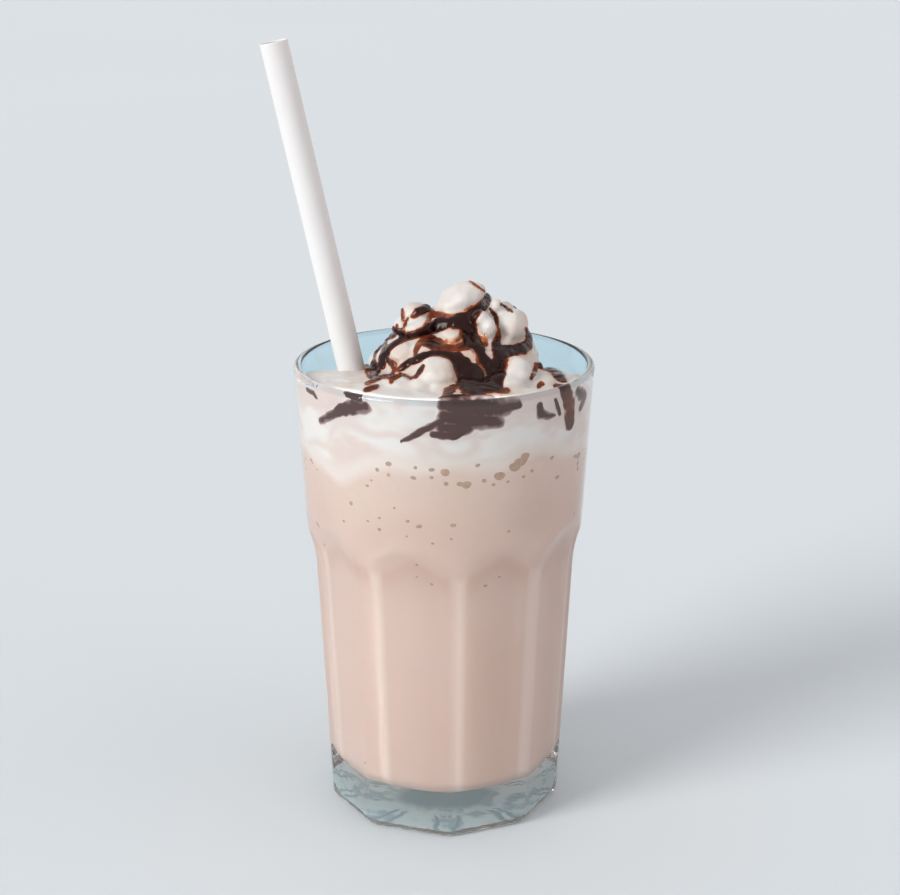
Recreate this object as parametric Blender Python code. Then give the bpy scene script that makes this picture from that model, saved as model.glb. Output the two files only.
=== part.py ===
"""A milkshake in a panelled tumbler, with whipped cream, chocolate drizzle and a straw.

The origin is the middle of the glass's foot, +Z is up, and the front faces -Y.
An angle round the glass is measured from the front, towards +X.
"""

import math

import bmesh
import bpy
from mathutils import Matrix, Vector
from mathutils.bvhtree import BVHTree

MM = 0.001
FIT_GAP = 0.3 * MM
WALL_GAP = 0.45 * MM
FILLING_SIDES = 48
HEAP_WALL_GAP = 1.3 * MM

# The tumbler: a round band above nine flat panels, on a thick clear base.
GLASS_HEIGHT = 139 * MM
RIM_RADIUS = 44.5 * MM
LIP_THICKNESS = 2.2 * MM
BAND_TAPER = 0.0587
PANELS = 9
PANEL_TURN = math.radians(2)
RIDGE_FOOT_RADIUS = 35.4 * MM
PANEL_FOOT_APOTHEM = 33.6 * MM
PANEL_TAPER = 0.0465
PANEL_FLARE_START = 78 * MM
PANEL_FLARE = 13.3
FOOT_ROUNDING = 2.2 * MM
FLOOR_HEIGHT = 12.5 * MM
FLOOR_ROUNDING = 5 * MM
# Heights and radii of the bore, from the floor to the lip.
BORE = [(12.5, 30.4), (50, 32.6), (78, 34.4), (100, 38.1), (120, 40.5), (139, 42.3)]

# The straw leans to the left and stands on the floor of the glass.
STRAW_RADIUS = 4.0 * MM
STRAW_BORE_RADIUS = 3.5 * MM
STRAW_TOP = Vector((-47.8, -3.0, 232.2)) * MM
STRAW_AT_CREAM = Vector((-26.8, -3.0, 134.4)) * MM
STRAW_FOOT_HEIGHT = FLOOR_HEIGHT + 1.5 * MM
STRAW_SIDES = 24

# Where the drink ends and the cream begins, and how high the cream stands at the wall.
DRINK_LEVEL = 121 * MM
CREAM_SIDE_LEVEL = 134 * MM
CREAM_FRONT_RISE = 4 * MM
CREAM_BACK_FALL = 8 * MM

# The spoonfuls of cream in the heap: centre, then half sizes, in millimetres.
DOLLOPS = [
    ((4, -3, 138), (25, 26, 14)),
    ((5.5, -2, 149.5), (13, 13.5, 9)),
    ((4, -1, 156), (8.8, 9, 5.8)),
    ((5.8, 0, 159.4), (4.6, 5, 3.7)),
    ((16.8, -3, 149), (8, 9.5, 8)),
    ((11.6, -12, 153.2), (3, 3.6, 3.4)),
    ((14.4, -13, 149.4), (3.4, 3.6, 4)),
    ((-8.8, -3, 152.6), (6.8, 6.5, 5)),
    ((-8, -12, 148.6), (6.6, 6, 5)),
    ((2, -17.5, 148.4), (5.6, 5, 4)),
    ((-11, -16.5, 143.8), (7.6, 6.6, 5.6)),
    ((-2.5, -27, 140.6), (9.6, 9.5, 7)),
    ((-14, -25.5, 138.2), (9, 9, 5.4)),
    ((19.6, -23.5, 140.2), (7.2, 8, 7.2)),
    ((27, -18.5, 137.2), (7, 8, 4.8)),
    ((22.6, -3, 143), (6.8, 10, 6.6)),
    ((-16.5, -8, 141), (6.6, 8.6, 6.6)),
    ((8, -31, 136.4), (15, 9, 4.6)),
    ((-9, -32, 136), (16, 8.4, 4)),
    ((-25, -22, 134.4), (9, 10, 4.4)),
    ((31, -8, 133.8), (7.6, 12, 4.4)),
    ((-9, 9, 147), (9.4, 9, 7)),
    ((7, 12, 148.6), (9.4, 9, 7.4)),
    ((17.6, 10, 142.6), (8.8, 8.4, 6.4)),
    ((-3, 20, 139.4), (10, 8.4, 6.4)),
    ((-16, 8, 137.6), (8.4, 9, 6.4)),
    ((2, 12, 138), (21, 19, 10)),
    ((11, 24, 133.6), (13, 11, 6)),
    ((-10, 25, 132.4), (14, 12, 5.6)),
    ((-24, 12, 132), (9, 12, 4.4)),
]
HEAP_GRAIN = 0.9 * MM
HEAP_DETAIL = 0.076

# Chocolate drizzle. Each strand is drawn in the plane y = 0 as it is seen from the front,
# as x, z and half width in millimetres, and is dropped on to the heap along that line of sight.
VIEWPOINT = Vector((1.7, -552.5, 284.8)) * MM
DRIZZLE = {
    "under_peak": [(13.2, 159.8, 2), (11.8, 155.7, 2.2), (8.2, 153.3, 2), (3.8, 150.6, 2.4),
                   (-1, 150.3, 2.2), (-4, 148.9, 1.8), (-7.6, 147, 1.6), (-11.7, 145.5, 1.5),
                   (-15.8, 143.5, 1.4), (-18.2, 141.6, 1.2)],
    "right_of_peak": [(13.2, 159.8, 1.8), (14.5, 156.2, 1.4), (15, 152.7, 1.4), (16.2, 148.1, 1.2),
                      (16.5, 144.9, 1.5), (18, 142.2, 2.3)],
    "middle": [(4.4, 149.7, 2.6), (7.1, 147, 2.6), (9.2, 143.7, 2.2), (11.2, 140.4, 2),
               (12.9, 136.9, 1.8), (13.2, 133.9, 1.8)],
    "long_arch": [(-20.3, 132.5, 1.8), (-16.7, 135.2, 1.8), (-13.1, 137.2, 1.5), (-9, 139.3, 1.2),
                  (-4.3, 140.7, 1.4), (0.5, 141, 1.5), (4.7, 140.1, 2.3), (7.1, 137.5, 3.7)],
    "right_edge": [(24.5, 147.8, 1.4), (23.6, 144.3, 1.8), (21, 142.2, 2.4), (17.7, 141.6, 2.9),
                   (16.3, 138.1, 2.6), (15, 134.2, 2.9)],
    "left_edge": [(-10.9, 155.4, 1.4), (-12.6, 152.7, 1.4), (-13.5, 149.4, 1.4), (-14.4, 146.7, 1.1),
                  (-17.6, 144.4, 1.4), (-18.5, 141.6, 1.4), (-19.4, 138.7, 1.8), (-20.6, 134.8, 2.2)],
    "left_blot": [(-8.8, 152.7, 1.4), (-6.7, 153.9, 2.2), (-4.3, 155.1, 1.8), (-2.5, 155.9, 1.1)],
    "left_loop": [(-16, 135.6, 1.1), (-13.1, 135.9, 1.1), (-9.6, 134.2, 1.1), (-7.2, 134.8, 1.1),
                  (-6, 137.8, 1)],
    "over_right": [(26.8, 137, 1.6), (29.7, 135.4, 2), (32.9, 133.2, 2.2)],
    "right_fall": [(25.1, 137.3, 1.1), (26, 134.3, 1.2), (26.6, 132.5, 1.1)],
}
# Where strands meet, the sauce gathers in a pool: place, then half width and half height.
POOLS = {
    "front_pool_top": ((7.6, 142), (4.4, 4.2)),
    "front_pool": ((11.5, 136.2), (5.2, 5)),
    "front_pool_foot": ((13, 131.5), (6, 3)),
    "right_pool": ((20.4, 142.8), (5, 3.4)),
    "right_pool_low": ((16.3, 137.4), (2.6, 4.4)),
}
POOL_DEPTH = 2.4 * MM
# Strands over the back of the heap: from one angle to another, from one height to another, half width.
BACK_STRANDS = [
    (80, 178, 149, 137, 2),
    (112, 205, 155, 145, 1.6),
    (138, 250, 139, 152, 1.8),
    (172, 292, 148, 137, 2.1),
    (205, 300, 147, 151, 1.4),
]
STRAND_SIDES = 10
SAUCE_FLATNESS = 0.7
SAUCE_GRAIN = 0.45 * MM
SAUCE_DETAIL = 0.046


def smooth_bump(offset, half_width):
    """1 in the middle, falling smoothly to 0 at half_width to either side."""
    share = min(abs(offset) / half_width, 1)
    return (1 - share * share) ** 2


def turn_between(angle, other):
    """The signed angle from other to angle, within half a turn."""
    return (angle - other + math.pi) % (2 * math.pi) - math.pi


def round_angles(count):
    return [2 * math.pi * i / count for i in range(count)]


def at_angle(angle, radius, z):
    return Vector((radius * math.sin(angle), -radius * math.cos(angle), z))


def bore_radius(z):
    """The radius of the glass's inner wall, through its stations with rounded passages."""
    heights = [h * MM for h, _ in BORE]
    radii = [r * MM for _, r in BORE]
    slopes = [(radii[i + 1] - radii[i]) / (heights[i + 1] - heights[i]) for i in range(len(BORE) - 1)]
    tangents = [slopes[0]] + [(a + b) / 2 for a, b in zip(slopes, slopes[1:])] + [slopes[-1]]
    if z <= heights[0]:
        return radii[0]
    if z >= heights[-1]:
        return radii[-1] + (z - heights[-1]) * slopes[-1]
    i = max(k for k in range(len(heights) - 1) if heights[k] <= z)
    step = heights[i + 1] - heights[i]
    t = (z - heights[i]) / step
    return (
        radii[i] * (2 * t**3 - 3 * t**2 + 1)
        + radii[i + 1] * (3 * t**2 - 2 * t**3)
        + step * (tangents[i] * (t**3 - 2 * t**2 + t) + tangents[i + 1] * (t**3 - t**2))
    )


def band_radius(z):
    return RIM_RADIUS - (GLASS_HEIGHT - z) * BAND_TAPER


def panel_apothem(z):
    """How far a panel's face lies from the axis. It flares at its top, which draws the panel's arch."""
    flare = PANEL_FLARE * max(0, z - PANEL_FLARE_START) ** 2
    return PANEL_FOOT_APOTHEM + PANEL_TAPER * z + flare


def outer_radius(angle, z):
    """The outside of the glass: the band, cut by the panels, whose ridges are narrow round strips."""
    pitch = 2 * math.pi / PANELS
    off_panel_middle = (angle - PANEL_TURN) % pitch - pitch / 2
    ridge = RIDGE_FOOT_RADIUS + (panel_apothem(z) - PANEL_FOOT_APOTHEM) * 1.06
    radius = min(band_radius(z), ridge, panel_apothem(z) / math.cos(off_panel_middle))
    rise = min(z, FOOT_ROUNDING)
    drawn_in = FOOT_ROUNDING - math.sqrt(FOOT_ROUNDING**2 - (FOOT_ROUNDING - rise) ** 2)
    return radius - drawn_in


def drink_level(angle, share):
    """The height of the border between drink and cream, with a tongue of cream at the left front.

    It is level in the middle and uneven towards the wall; share is how near the wall the point is.
    """
    reach = max(0, 2 * share - 1) ** 2
    tongue = -7 * smooth_bump(turn_between(angle, math.radians(-41)), math.radians(24))
    tongue -= 3 * smooth_bump(turn_between(angle, math.radians(150)), math.radians(30))
    waves = 0.9 * math.sin(5 * angle + 0.6) + 0.5 * math.sin(9 * angle)
    return DRINK_LEVEL + (tongue + waves) * MM * reach


def cream_level(angle):
    """The height of the cream at the wall: highest at the front, lowest at the back."""
    towards_front = math.cos(angle)
    slope = CREAM_FRONT_RISE if towards_front > 0 else CREAM_BACK_FALL
    return CREAM_SIDE_LEVEL + slope * towards_front + 0.4 * MM * math.sin(7 * angle)


def material(name, colour, roughness, metallic=0.0, transmission=0.0):
    made = bpy.data.materials.new(name)
    made.use_nodes = True
    shader = made.node_tree.nodes["Principled BSDF"]
    shader.inputs["Base Color"].default_value = (*colour, 1)
    shader.inputs["Roughness"].default_value = roughness
    shader.inputs["Metallic"].default_value = metallic
    shader.inputs["Transmission Weight"].default_value = transmission
    return made


def object_of(name, mesh, finish):
    made = bpy.data.objects.new(name, mesh)
    bpy.context.scene.collection.objects.link(made)
    mesh.materials.append(finish)
    return made


def skin(name, rings):
    """A closed mesh over rings of equal count, with the first and the last ring capped flat."""
    shape = bmesh.new()
    loops = [[shape.verts.new(point) for point in ring] for ring in rings]
    for low, high in zip(loops, loops[1:]):
        for i in range(len(low)):
            j = (i + 1) % len(low)
            shape.faces.new((low[i], low[j], high[j]))
            shape.faces.new((low[i], high[j], high[i]))
    shape.faces.new(list(reversed(loops[0])))
    shape.faces.new(loops[-1])
    bmesh.ops.recalc_face_normals(shape, faces=shape.faces)
    mesh = bpy.data.meshes.new(name)
    shape.to_mesh(mesh)
    shape.free()
    mesh.shade_smooth()
    mesh.set_sharp_from_angle(angle=math.radians(35))
    return mesh


def panel_angles():
    """Angles round the glass, close together at each ridge and wider over each flat panel."""
    pitch = 360 / PANELS
    offsets = (-pitch / 2, -18.2, -12.5, -6.5, 0, 6.5, 12.5, 18.2)
    return [
        PANEL_TURN + math.radians(pitch / 2 + panel * pitch + offset)
        for panel in range(PANELS)
        for offset in offsets
    ]


def make_glass(finish):
    angles = panel_angles()
    rounding = [FOOT_ROUNDING * (1 - math.cos(math.radians(a))) for a in (0, 35, 60, 90)]
    levels = [h * MM for h in (40, 72, 80, 85, 88, 90.5, 92.5, 94.5, 97, 118)]
    lip_middle = GLASS_HEIGHT - LIP_THICKNESS / 2
    rings = [[at_angle(a, outer_radius(a, z), z) for a in angles] for z in rounding + levels]
    lip_radius = RIM_RADIUS - LIP_THICKNESS / 2
    for step in range(5):
        tilt = math.pi * step / 4
        radius = lip_radius + math.cos(tilt) * LIP_THICKNESS / 2
        height = lip_middle + math.sin(tilt) * LIP_THICKNESS / 2
        rings.append([at_angle(a, radius, height) for a in angles])
    for z in (120, 108, 100, 92, 84, 76, 60, 35, FLOOR_HEIGHT / MM + FLOOR_ROUNDING / MM):
        rings.append([at_angle(a, bore_radius(z * MM), z * MM) for a in angles])
    for step in range(1, 4):
        turn = math.radians(90 * step / 3)
        radius = bore_radius(FLOOR_HEIGHT) - FLOOR_ROUNDING * (1 - math.cos(turn))
        height = FLOOR_HEIGHT + FLOOR_ROUNDING * (1 - math.sin(turn))
        rings.append([at_angle(a, radius, height) for a in angles])
    return object_of("glass", skin("glass", rings), finish)


def straw_direction():
    return (STRAW_TOP - STRAW_AT_CREAM).normalized()


def straw_foot():
    direction = straw_direction()
    return STRAW_TOP - direction * ((STRAW_TOP.z - STRAW_FOOT_HEIGHT) / direction.z)


def round_bar(name, start, end, radius):
    """A closed round bar from start to end."""
    direction = end - start
    shape = bmesh.new()
    turn = direction.to_track_quat("Z", "Y").to_matrix().to_4x4()
    place = Matrix.Translation((start + end) / 2) @ turn
    bmesh.ops.create_cone(shape, cap_ends=True, segments=STRAW_SIDES, radius1=radius, radius2=radius,
                          depth=direction.length, matrix=place)
    mesh = bpy.data.meshes.new(name)
    shape.to_mesh(mesh)
    shape.free()
    return mesh


def make_straw(finish):
    direction = straw_direction()
    frame = direction.to_track_quat("Z", "Y").to_matrix()
    foot, top = straw_foot(), STRAW_TOP

    def ring(centre, radius):
        turns = round_angles(STRAW_SIDES)
        return [centre + frame @ Vector((radius * math.cos(a), radius * math.sin(a), 0)) for a in turns]

    shape = bmesh.new()
    walls = [ring(foot, STRAW_RADIUS), ring(top, STRAW_RADIUS), ring(top, STRAW_BORE_RADIUS),
             ring(foot, STRAW_BORE_RADIUS)]
    loops = [[shape.verts.new(point) for point in wall] for wall in walls]
    for low, high in zip(loops, loops[1:] + loops[:1]):
        for i in range(len(low)):
            j = (i + 1) % len(low)
            shape.faces.new((low[i], low[j], high[j], high[i]))
    bmesh.ops.recalc_face_normals(shape, faces=shape.faces)
    mesh = bpy.data.meshes.new("straw")
    shape.to_mesh(mesh)
    shape.free()
    mesh.shade_smooth()
    mesh.set_sharp_from_angle(angle=math.radians(35))
    return object_of("straw", mesh, finish)


def apply_boolean(target, operation, other=None, collection=None):
    """Applies one Boolean to target, and removes what it used."""
    modifier = target.modifiers.new(operation.lower(), "BOOLEAN")
    modifier.operation = operation
    modifier.solver = "EXACT"
    if collection:
        modifier.operand_type = "COLLECTION"
        modifier.collection = collection
    else:
        modifier.object = other
    bpy.context.view_layer.update()
    evaluated = target.evaluated_get(bpy.context.evaluated_depsgraph_get())
    result = bpy.data.meshes.new_from_object(evaluated)
    target.modifiers.clear()
    target.data = result
    used = list(collection.objects) if collection else [other]
    for helper in used:
        bpy.data.objects.remove(helper)
    if collection:
        bpy.data.collections.remove(collection)


def cut_for_straw(target):
    """Leaves the straw its place, with a narrow gap round it."""
    direction = straw_direction()
    start = straw_foot() - direction * (STRAW_RADIUS * 0.4)
    bar = round_bar("straw_place", start, STRAW_TOP, STRAW_RADIUS + FIT_GAP * 1.2)
    cutter = bpy.data.objects.new("straw_place", bar)
    bpy.context.scene.collection.objects.link(cutter)
    apply_boolean(target, "DIFFERENCE", other=cutter)


def border_ring(angles, share, lift):
    """A ring of the border between drink and cream, at a share of the way from the axis to the wall."""
    ring = []
    for a in angles:
        wall = bore_radius(drink_level(a, 1)) - WALL_GAP
        ring.append(at_angle(a, wall * share, drink_level(a, share) + lift))
    return ring


def make_drink(finish):
    angles = round_angles(FILLING_SIDES)
    rings = []
    for step in (3, 2, 1, 0):
        turn = math.radians(90 * step / 3)
        radius = bore_radius(FLOOR_HEIGHT) - FLOOR_ROUNDING * (1 - math.cos(turn)) - WALL_GAP
        height = FLOOR_HEIGHT + FLOOR_ROUNDING * (1 - math.sin(turn)) + FIT_GAP
        rings.append([at_angle(a, radius, height) for a in angles])
    for z in (35, 60, 76, 84, 92, 100, 108):
        rings.append([at_angle(a, bore_radius(z * MM) - WALL_GAP, z * MM) for a in angles])
    for share in (1, 0.8, 0.5):
        rings.append(border_ring(angles, share, 0))
    drink = object_of("drink", skin("drink", rings), finish)
    cut_for_straw(drink)
    return drink


def cream_bed():
    """The cream that fills the top of the glass, before the heap is set on it."""
    angles = round_angles(FILLING_SIDES)
    rings = []
    for share, rise in ((0.5, 2), (0.8, 1.4), (0.93, 1.1)):
        ring = []
        for a in angles:
            z = cream_level(a) + rise * MM
            ring.append(at_angle(a, bore_radius(cream_level(a)) * share, z))
        rings.append(ring)
    for share in (1, 0.5):
        ring = []
        for a in angles:
            low = drink_level(a, 1)
            z = low + (cream_level(a) - low) * share
            ring.append(at_angle(a, bore_radius(z) - WALL_GAP, z))
        rings.append(ring)
    for share in (1, 0.8, 0.5):
        rings.append(border_ring(angles, share, FIT_GAP))
    return skin("cream", rings)


def run_together(name, shape, grain, detail, rounds=0):
    """Melts overlapping lumps into one closed soft skin, with as many faces as its detail asks for."""
    mesh = bpy.data.meshes.new(name)
    shape.to_mesh(mesh)
    shape.free()
    lumps = bpy.data.objects.new(name, mesh)
    bpy.context.scene.collection.objects.link(lumps)
    melt = lumps.modifiers.new("melt", "REMESH")
    melt.mode = "VOXEL"
    melt.voxel_size = grain
    if rounds:
        soften = lumps.modifiers.new("soften", "SMOOTH")
        soften.factor = 0.5
        soften.iterations = rounds
    coarser = lumps.modifiers.new("coarser", "DECIMATE")
    coarser.ratio = detail
    coarser.use_collapse_triangulate = True
    bpy.context.view_layer.update()
    result = bpy.data.meshes.new_from_object(lumps.evaluated_get(bpy.context.evaluated_depsgraph_get()))
    bpy.data.objects.remove(lumps)
    return result


def heap_of_cream():
    """The heap: every spoonful as a rounded lump, pressed in by the glass and run together."""
    shape = bmesh.new()
    for centre, sizes in DOLLOPS:
        scale = Matrix.Diagonal((*[s * MM for s in sizes], 1))
        place = Matrix.Translation(Vector(centre) * MM) @ scale
        bmesh.ops.create_icosphere(shape, subdivisions=4, radius=1, matrix=place)
    for vertex in shape.verts:
        reach = vertex.co.xy.length
        room = bore_radius(vertex.co.z) - HEAP_WALL_GAP
        if reach > room:
            vertex.co.xy *= room / reach
    return run_together("heap", shape, HEAP_GRAIN, HEAP_DETAIL, rounds=3)


def on_heap(tree, x, z):
    """The point of the heap that lies behind x, z of the plane y = 0, seen from the front."""
    target = Vector((x * MM, 0, z * MM))
    line = (target - VIEWPOINT).normalized()
    point, normal, _, _ = tree.ray_cast(VIEWPOINT, line)
    return (point, normal) if point else (None, None)


def add_strand(shape, points, widths):
    """A strand of sauce: a flattened rope along points, half sunk in the cream, with rounded ends."""
    loops = []
    for i, (point, normal) in enumerate(points):
        before, after = points[max(i - 1, 0)][0], points[min(i + 1, len(points) - 1)][0]
        along = (after - before).normalized()
        across = normal.cross(along).normalized()
        up = along.cross(across).normalized()
        loop = []
        for k in range(STRAND_SIDES):
            turn = 2 * math.pi * k / STRAND_SIDES
            offset = across * math.cos(turn) + up * math.sin(turn) * SAUCE_FLATNESS
            loop.append(shape.verts.new(point + offset * widths[i]))
        loops.append(loop)
    for low, high in zip(loops, loops[1:]):
        for k in range(STRAND_SIDES):
            n = (k + 1) % STRAND_SIDES
            shape.faces.new((low[k], high[k], high[n], low[n]))
    shape.faces.new(loops[0])
    shape.faces.new(list(reversed(loops[-1])))
    for end in (0, -1):
        place = Matrix.Translation(points[end][0]) @ Matrix.Scale(widths[end] * 0.8, 4)
        bmesh.ops.create_icosphere(shape, subdivisions=2, radius=1, matrix=place)


def strand_points(tree, route):
    """Points on the heap under a drawn strand, one more between each two of its own."""
    dense = []
    for first, second in zip(route, route[1:]):
        dense.append(first)
        dense.append(tuple((a + b) / 2 for a, b in zip(first, second)))
    dense.append(route[-1])
    points, widths = [], []
    for x, z, half_width in dense:
        point, normal = on_heap(tree, x, z)
        if point and (not points or (point - points[-1][0]).length > 0.8 * MM):
            points.append((point, normal))
            widths.append(half_width * MM)
    return points, widths


def back_strand_points(tree, start, end, start_height, end_height):
    """Points of a strand round the back of the heap, found from outside towards its axis."""
    points = []
    steps = 24
    for i in range(steps + 1):
        share = i / steps
        angle = math.radians(start + (end - start) * share)
        z = (start_height + (end_height - start_height) * share + 1.6 * math.sin(9 * share)) * MM
        outside = at_angle(angle, RIM_RADIUS * 1.6, z + 20 * MM)
        axis = Vector((4 * MM, 0, z - 10 * MM))
        point, normal, _, _ = tree.ray_cast(outside, (axis - outside).normalized())
        if point and (not points or (point - points[-1][0]).length > 1.2 * MM):
            points.append((point, normal))
    return points


def add_pool(shape, tree, place, sizes):
    """A flat drop of sauce where strands meet."""
    point, normal = on_heap(tree, *place)
    facing = normal.to_track_quat("Z", "Y").to_matrix().to_4x4()
    scale = Matrix.Diagonal((sizes[0] * MM, sizes[1] * MM, POOL_DEPTH, 1))
    place = Matrix.Translation(point) @ facing @ scale
    bmesh.ops.create_icosphere(shape, subdivisions=3, radius=1, matrix=place)


def drizzle_on(tree):
    """All the chocolate on the heap, as one web of strands and pools."""
    shape = bmesh.new()
    for route in DRIZZLE.values():
        add_strand(shape, *strand_points(tree, route))
    for start, end, low, high, half_width in BACK_STRANDS:
        points = back_strand_points(tree, start, end, low, high)
        widths = [half_width * MM * (1 + 0.25 * math.sin(1.3 * i)) for i in range(len(points))]
        add_strand(shape, points, widths)
    for place, sizes in POOLS.values():
        add_pool(shape, tree, place, sizes)
    return run_together("drizzle", shape, SAUCE_GRAIN, SAUCE_DETAIL)


def keep_outer_skin(target):
    """Fills the hollows that a union seals, and drops loose scraps: only the widest skin stays."""
    shape = bmesh.new()
    shape.from_mesh(target.data)
    left = set(shape.verts)
    skins = []
    while left:
        found = {left.pop()}
        to_visit = list(found)
        while to_visit:
            vertex = to_visit.pop()
            for edge in vertex.link_edges:
                other = edge.other_vert(vertex)
                if other in left:
                    left.discard(other)
                    found.add(other)
                    to_visit.append(other)
        skins.append(found)

    def width(vertices):
        return max(v.co.x for v in vertices) - min(v.co.x for v in vertices)

    widest = max(skins, key=width)
    bmesh.ops.delete(shape, geom=[v for v in shape.verts if v not in widest], context="VERTS")
    shape.to_mesh(target.data)
    shape.free()


def join_to(target, meshes):
    """Fuses closed meshes to target with one Boolean union."""
    group = bpy.data.collections.new("to_join")
    bpy.context.scene.collection.children.link(group)
    for mesh in meshes:
        group.objects.link(bpy.data.objects.new(mesh.name, mesh))
    apply_boolean(target, "UNION", collection=group)
    keep_outer_skin(target)


def surface_of(*meshes):
    """The skins of several meshes, for finding what lies on top."""
    corners, faces = [], []
    for mesh in meshes:
        first = len(corners)
        corners += [v.co.copy() for v in mesh.vertices]
        faces += [[first + i for i in face.vertices] for face in mesh.polygons]
    return BVHTree.FromPolygons(corners, faces)


def make_cream(finish):
    bed = cream_bed()
    cream = object_of("cream", bed, finish)
    heap = heap_of_cream()
    join_to(cream, [heap, drizzle_on(surface_of(bed, heap))])
    cut_for_straw(cream)
    cream.data.shade_smooth()
    cream.data.set_sharp_from_angle(angle=math.radians(50))
    return cream


def main():
    for old in list(bpy.data.objects):
        bpy.data.objects.remove(old)
    make_glass(material("clear_glass", (0.86, 0.94, 0.96), 0.02, transmission=1.0))
    make_drink(material("milkshake", (0.72, 0.52, 0.42), 0.4))
    make_cream(material("whipped_cream", (0.93, 0.91, 0.88), 0.5))
    make_straw(material("straw_paper", (0.88, 0.87, 0.85), 0.6))


main()
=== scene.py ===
import math

import bmesh
import bpy
import numpy as np
from mathutils import Matrix, Vector, noise
from mathutils.bvhtree import BVHTree


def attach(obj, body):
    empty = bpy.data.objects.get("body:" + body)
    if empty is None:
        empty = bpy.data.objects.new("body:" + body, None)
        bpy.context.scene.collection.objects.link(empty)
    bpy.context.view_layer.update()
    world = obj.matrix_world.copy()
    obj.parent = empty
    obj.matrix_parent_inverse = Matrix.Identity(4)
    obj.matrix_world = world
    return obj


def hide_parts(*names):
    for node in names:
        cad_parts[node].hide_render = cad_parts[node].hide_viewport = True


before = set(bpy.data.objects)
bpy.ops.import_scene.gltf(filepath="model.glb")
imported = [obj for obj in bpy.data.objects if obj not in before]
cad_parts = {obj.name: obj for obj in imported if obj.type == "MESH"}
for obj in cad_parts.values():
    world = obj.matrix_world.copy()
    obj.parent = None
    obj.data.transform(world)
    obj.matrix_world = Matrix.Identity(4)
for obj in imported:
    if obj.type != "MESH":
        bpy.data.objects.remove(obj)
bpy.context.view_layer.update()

# The viewpoint: a long lens a little over half a metre in front of the glass, looking down at it.
# A point round the glass is given by its angle from the front, towards +X, and its height.
MM = 0.001
LENS = 77.04
LOOKING_DOWN = math.radians(17.37)
VIEWPOINT = Vector((1.71, -552.5, 284.8)) * MM

camera_data = bpy.data.cameras.new("camera")
camera_data.lens = LENS
camera_data.sensor_fit = "HORIZONTAL"
camera_data.sensor_width = 36
camera_data.clip_start = 10 * MM
camera = bpy.data.objects.new("camera", camera_data)
camera.location = VIEWPOINT
camera.rotation_euler = (math.pi / 2 - LOOKING_DOWN, 0, 0)
bpy.context.scene.collection.objects.link(camera)
bpy.context.scene.camera = camera
bpy.context.scene.view_settings.view_transform = "Standard"


# The studio: a wide pale floor with a faint cool cast, a soft sun at the left front, a weaker and
# warmer one at the right, and pale walls all round that are brightest near the floor.
class Value:
    """A number, colour or vector that varies over a surface: one socket, with Python's arithmetic."""

    def __init__(self, recipe, socket):
        self.recipe = recipe
        self.socket = socket

    def maths(self, operation, *others, first=None):
        numbers = (self, *others) if first is None else (first, self)
        return self.recipe.node("Math", {"operation": operation}, dict(enumerate(numbers)))

    def __add__(self, other):
        return self.maths("ADD", other)

    def __sub__(self, other):
        return self.maths("SUBTRACT", other)

    def __mul__(self, other):
        return self.maths("MULTIPLY", other)

    def __truediv__(self, other):
        return self.maths("DIVIDE", other)

    def __rsub__(self, other):
        return self.maths("SUBTRACT", first=other)

    __radd__ = __add__
    __rmul__ = __mul__

    def most(self, other):
        return self.maths("MAXIMUM", other)

    def step(self, low, high):
        """0 below low, 1 above high, and a smooth passage between them."""
        return self.recipe.node("MapRange", {"interpolation_type": "SMOOTHSTEP"},
                                {0: self, 1: low, 2: high, 3: 0.0, 4: 1.0})


class Recipe:
    """The nodes of one finish or light, written as expressions."""

    def __init__(self, tree):
        self.tree = tree

    def link(self, value, node, socket):
        self.tree.links.new(value.socket, node.inputs[socket])

    def node(self, kind, settings, sockets, out=0):
        """Adds a node: its settings first, then the values and links of its sockets."""
        made = self.tree.nodes.new("ShaderNode" + kind)
        for name, value in settings.items():
            setattr(made, name, value)
        for name, value in sockets.items():
            if isinstance(value, Value):
                self.link(value, made, name)
            elif value is not None:
                made.inputs[name].default_value = value
        return Value(self, made.outputs[out])

    def axis(self, vector, letter):
        return self.node("SeparateXYZ", {}, {0: vector}, out=letter)

    def blend(self, share, first, second):
        """A colour between two, first where share is 0."""
        first, second = [c if isinstance(c, Value) else (*c, 1) for c in (first, second)]
        return self.node("Mix", {"data_type": "RGBA"}, {0: share, 6: first, 7: second}, out=2)


class Finish(Recipe):
    """One surface finish: a material round the Principled shader."""

    def __init__(self, name, **numbers):
        self.material = bpy.data.materials.new(name)
        self.material.use_nodes = True
        super().__init__(self.material.node_tree)
        self.shader = self.tree.nodes["Principled BSDF"]
        for socket, value in numbers.items():
            self.shader.inputs[socket.replace("_", " ")].default_value = value

    def place(self):
        """Where a point of the surface is, in metres."""
        return self.node("TexCoord", {}, {}, out="Object")

    def grain(self, size, detail=2.0, roughness=0.5, stretch=(1, 1, 1)):
        """Noise from 0 to 1 in lumps of about that size, in metres."""
        scaled = self.node("VectorMath", {"operation": "MULTIPLY"}, {0: self.place(), 1: stretch})
        return self.node("TexNoise", {}, {"Vector": scaled, "Scale": 0.6 / size, "Detail": detail,
                                          "Roughness": roughness})

    def relief(self, height, depth, over=None):
        """A bump that is depth metres deep where height goes from 0 to 1."""
        return self.node("Bump", {}, {"Height": height, "Distance": depth, "Normal": over})

    def mark(self, name):
        """A number that the mesh itself carries."""
        return self.node("Attribute", {"attribute_name": name}, {}, out="Fac")

    def feed(self, **links):
        for socket, value in links.items():
            self.link(value, self.shader, socket.replace("_", " "))
        return self.material


def colour(red, green, blue):
    """A colour as it looks on a screen, 0 to 255, in the linear values that light needs."""
    return tuple((c / 255 / 12.92) if c <= 10 else ((c / 255 + 0.055) / 1.055) ** 2.4
                 for c in (red, green, blue))


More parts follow.
